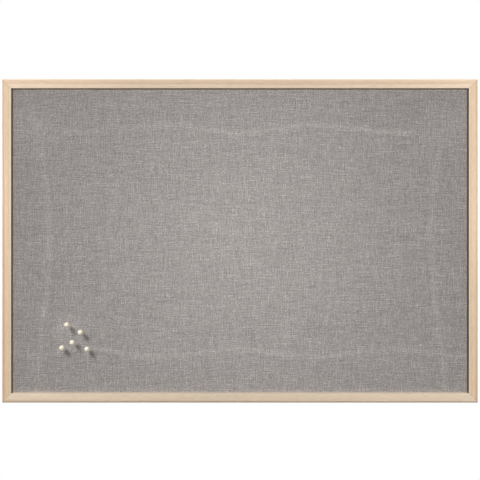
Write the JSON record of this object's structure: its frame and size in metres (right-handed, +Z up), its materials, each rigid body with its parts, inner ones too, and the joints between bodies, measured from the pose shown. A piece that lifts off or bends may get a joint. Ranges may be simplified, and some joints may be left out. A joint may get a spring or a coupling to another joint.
{
  "type": "fabric memo board",
  "caption": "Wall-hung memo board: linen-covered cork panel in a mitred pale wood frame, with turned wooden push pins, D-ring hangers and wall bumpers.",
  "frame": {"origin": "middle of the top rail's back face", "axes": "+X to the right as seen from the front, +Y out of the back towards the wall, +Z up"},
  "size_m": [0.938, 0.0377, 0.638],
  "materials": {
    "pale_wood": "sanded natural light wood, clear matt",
    "linen": "warm grey slubbed linen weave",
    "cork": "granulated cork",
    "softboard": "soft fibre board",
    "hardboard": "brown hardboard, screen-textured",
    "zinc_steel": "zinc plated",
    "bright_steel": "nickel plated",
    "needle_steel": "polished",
    "rubber": "translucent matt",
    "pin_wood": "turned pale wood, smooth"
  },
  "bodies": {
    "board": {"top_rail": "pale_wood", "bottom_rail": "pale_wood", "left_stile": "pale_wood", "right_stile": "pale_wood", "corner_nail_top_left": "zinc_steel", "corner_nail_top_right": "zinc_steel", "corner_nail_bottom_left": "zinc_steel", "corner_nail_bottom_right": "zinc_steel", "top_rail_point_1": "zinc_steel", "top_rail_point_2": "zinc_steel", "top_rail_point_3": "zinc_steel", "top_rail_point_4": "zinc_steel", "bottom_rail_point_1": "zinc_steel", "bottom_rail_point_2": "zinc_steel", "bottom_rail_point_3": "zinc_steel", "bottom_rail_point_4": "zinc_steel", "left_stile_point_1": "zinc_steel", "left_stile_point_2": "zinc_steel", "right_stile_point_1": "zinc_steel", "right_stile_point_2": "zinc_steel", "linen_cover": "linen", "cork_sheet": "cork", "softboard_core": "softboard", "hardboard_back": "hardboard", "left_hanger_strap": "zinc_steel", "left_hanger_screw": "bright_steel", "right_hanger_strap": "zinc_steel", "right_hanger_screw": "bright_steel", "left_bumper": "rubber", "right_bumper": "rubber"},
    "left_ring": {"left_hanger_ring": "bright_steel"},
    "right_ring": {"right_hanger_ring": "bright_steel"},
    "pin_1": {"pin_1_head": "pin_wood", "pin_1_needle": "needle_steel"},
    "pin_2": {"pin_2_head": "pin_wood", "pin_2_needle": "needle_steel"},
    "pin_3": {"pin_3_head": "pin_wood", "pin_3_needle": "needle_steel"},
    "pin_4": {"pin_4_head": "pin_wood", "pin_4_needle": "needle_steel"},
    "pin_5": {"pin_5_head": "pin_wood", "pin_5_needle": "needle_steel"}
  },
  "joints": [
    {"name": "left_ring_hinge", "type": "hinge", "parent": "board", "child": "left_ring", "pos_m": [-0.4622, 0.0023, -0.123], "axis": [-1, 0, 0], "range_deg": [0, 170]},
    {"name": "right_ring_hinge", "type": "hinge", "parent": "board", "child": "right_ring", "pos_m": [0.4622, 0.0023, -0.123], "axis": [-1, 0, 0], "range_deg": [0, 170]},
    {"name": "pin_1_pull", "type": "slide", "parent": "board", "child": "pin_1", "axis": [-0.1676, -0.8622, 0.478], "range_m": [0, 0.02]},
    {"name": "pin_2_pull", "type": "slide", "parent": "board", "child": "pin_2", "axis": [-0.1721, -0.8854, 0.4318], "range_m": [0, 0.02]},
    {"name": "pin_3_pull", "type": "slide", "parent": "board", "child": "pin_3", "axis": [-0.181, -0.8517, 0.4917], "range_m": [0, 0.02]},
    {"name": "pin_4_pull", "type": "slide", "parent": "board", "child": "pin_4", "axis": [-0.2302, -0.8592, 0.4569], "range_m": [0, 0.02]},
    {"name": "pin_5_pull", "type": "slide", "parent": "board", "child": "pin_5", "axis": [-0.1578, -0.895, 0.4173], "range_m": [0, 0.02]}
  ]
}
